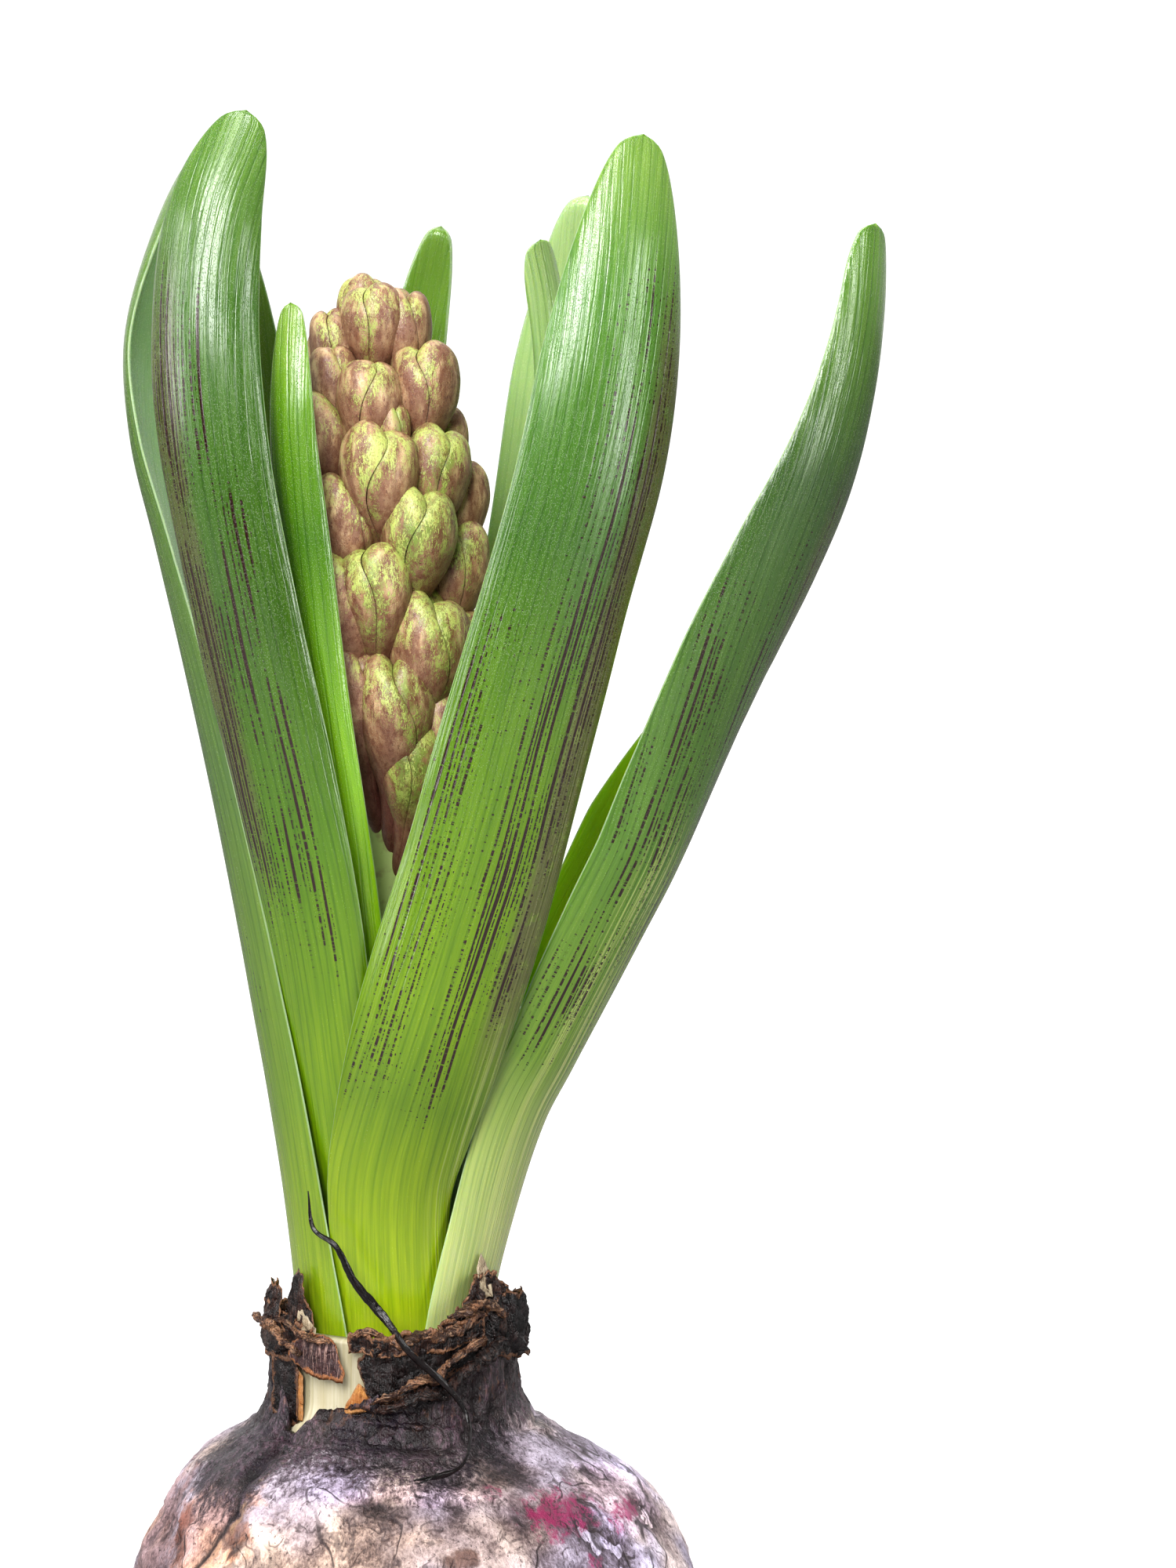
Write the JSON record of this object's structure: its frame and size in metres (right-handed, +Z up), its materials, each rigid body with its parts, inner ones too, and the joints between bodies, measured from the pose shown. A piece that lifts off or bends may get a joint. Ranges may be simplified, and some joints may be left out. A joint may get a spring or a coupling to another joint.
{
  "type": "hyacinth flower with bulb",
  "caption": "Whole hyacinth in tight bud standing on its bulb: channelled fleshy leaves round a spike of closed buds, papery tunic torn at the neck, flat basal plate.",
  "frame": {"origin": "centre of the flat underside of the basal plate, on which the bulb stands", "axes": "+Z up along the bulb and its leaves, -Y towards the front with the torn window in the neck, +X towards the side that the longest free leaf leans to"},
  "size_m": [0.0833, 0.064, 0.1957],
  "materials": {
    "leaf": "fleshy and glossy, fine veins along it, paler towards the foot and the tip",
    "bud": "satin, green with brown-purple mottling",
    "bulb_flesh": "smooth and moist, cream with fine ribs",
    "tunic": "papery, grey-lilac and brown with magenta patches, wrinkled",
    "dry_scrap": "dry and frayed, near black with tan edges",
    "root_plate": "corky and matt"
  },
  "bodies": {
    "root": {"basal_plate": "root_plate", "bulb_scales": "bulb_flesh", "tunic": "tunic", "neck_rag_left": "dry_scrap", "neck_flap": "dry_scrap", "neck_band": "dry_scrap", "neck_rag_right": "dry_scrap", "leaf_front_left": "leaf", "leaf_front_centre": "leaf", "leaf_right": "leaf", "leaf_inner_front": "leaf", "leaf_far_left": "leaf", "leaf_back_centre": "leaf", "leaf_back_right": "leaf", "leaf_inner_right": "leaf", "leaf_back_left": "leaf", "flower_spike": "bud", "dried_strand": "dry_scrap"}
  },
  "joints": []
}
